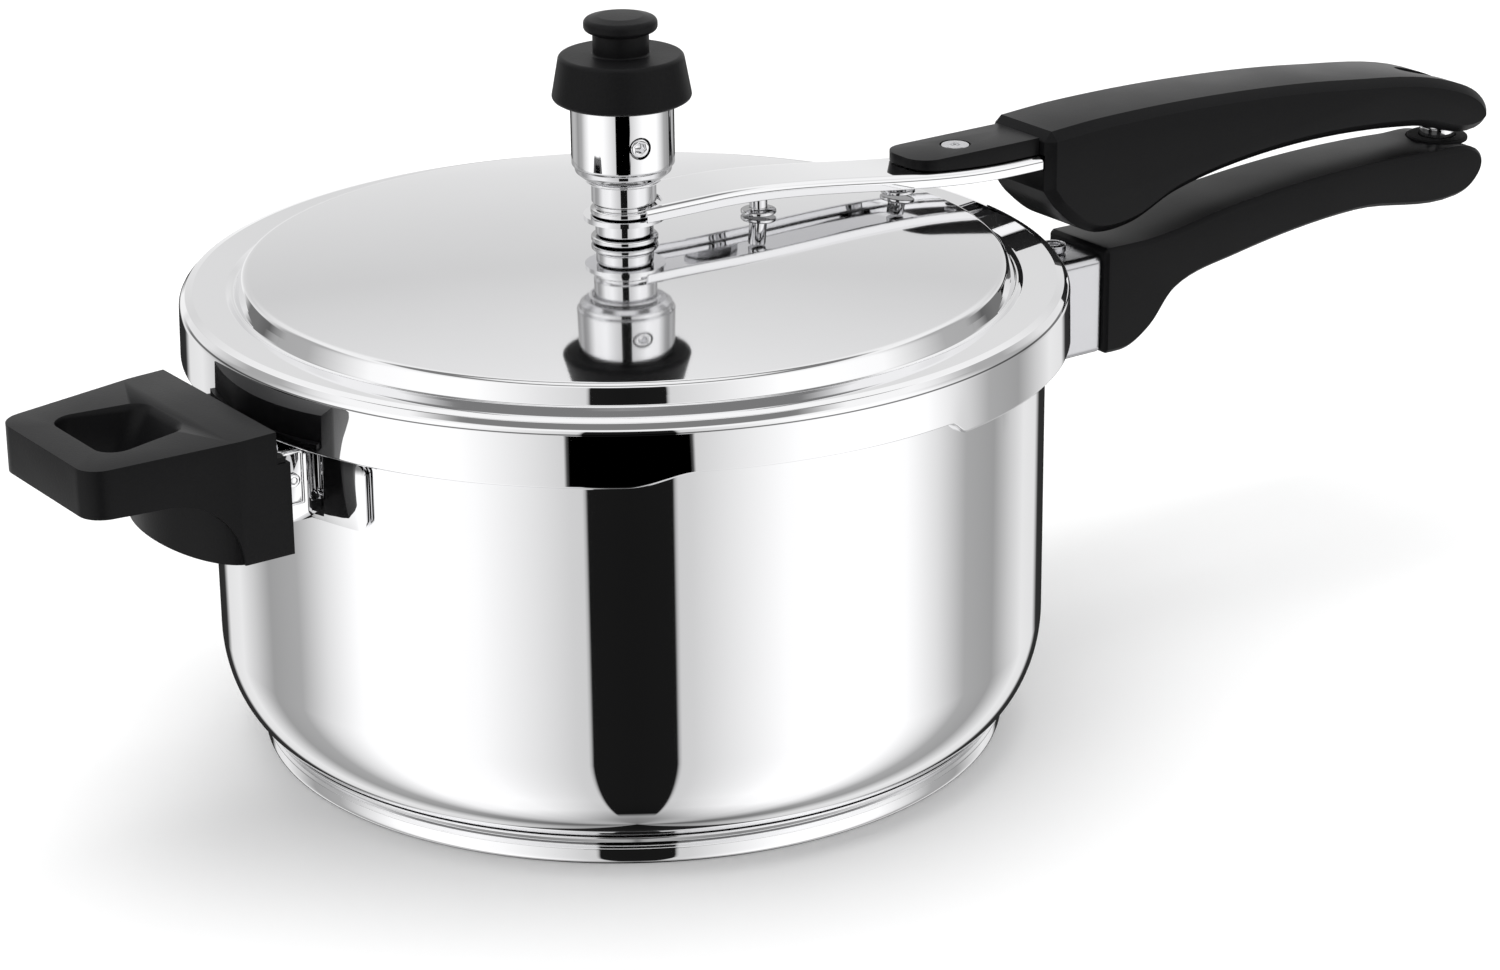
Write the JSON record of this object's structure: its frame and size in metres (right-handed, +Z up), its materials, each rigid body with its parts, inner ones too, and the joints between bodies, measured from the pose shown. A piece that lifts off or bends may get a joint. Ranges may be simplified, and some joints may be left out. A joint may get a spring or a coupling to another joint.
{
  "type": "stovetop pressure cooker",
  "caption": "Steel stovetop pressure cooker with an outer lid, a vent weight, two long black handles and a small helper handle.",
  "frame": {"origin": "centre of the flat underside of the sandwich base, on the pot's axis", "axes": "+Z up along the pot's axis, +X along the two long handles, so the helper handle is at -X"},
  "size_m": [0.4346, 0.214, 0.177],
  "materials": {
    "polished_steel": "mirror-polished stainless steel",
    "satin_steel": "satin turned steel",
    "aluminium": "dull pressed aluminium",
    "brass": "satin brass",
    "black_resin": "satin black moulded phenolic resin",
    "black_rubber": "matt black rubber"
  },
  "bodies": {
    "pot": {"pot_shell": "polished_steel", "base_core": "aluminium", "base_cap": "polished_steel", "body_handle_bracket": "polished_steel", "body_handle": "black_resin", "body_handle_screw": "satin_steel", "tail_stud": "polished_steel", "tail_grommet": "black_rubber", "helper_bracket": "polished_steel", "helper_handle": "black_resin", "helper_handle_screw": "satin_steel"},
    "seal": {"sealing_ring": "black_rubber"},
    "lid": {"lid_shell": "polished_steel", "vent_pipe": "satin_steel", "vent_ring": "polished_steel", "vent_spacer": "polished_steel", "vent_washer": "black_rubber", "vent_nut": "satin_steel", "safety_plug": "brass", "safety_plug_nut": "satin_steel", "lid_strap": "polished_steel", "strap_stud_inner": "polished_steel", "strap_stud_outer": "polished_steel", "lid_handle_tongue": "black_resin", "tongue_screw": "satin_steel", "lid_handle": "black_resin", "lid_handle_screw": "satin_steel"},
    "weight": {"weight_sleeve": "polished_steel", "weight_body": "polished_steel", "weight_set_screw": "satin_steel", "weight_centre_screw": "satin_steel", "weight_knob": "black_resin", "weight_clip": "polished_steel"}
  },
  "joints": [
    {"name": "lid_lift", "type": "slide", "parent": "pot", "child": "seal", "axis": [0, 0, 1], "range_m": [0, 0.12]},
    {"name": "lid_turn", "type": "hinge", "parent": "seal", "child": "lid", "pos_m": [0, 0, 0.1136], "axis": [0, 0, 1], "range_deg": [0, 50]},
    {"name": "weight_lift", "type": "slide", "parent": "lid", "child": "weight", "axis": [0, 0, 1], "range_m": [0, 0.04]}
  ]
}
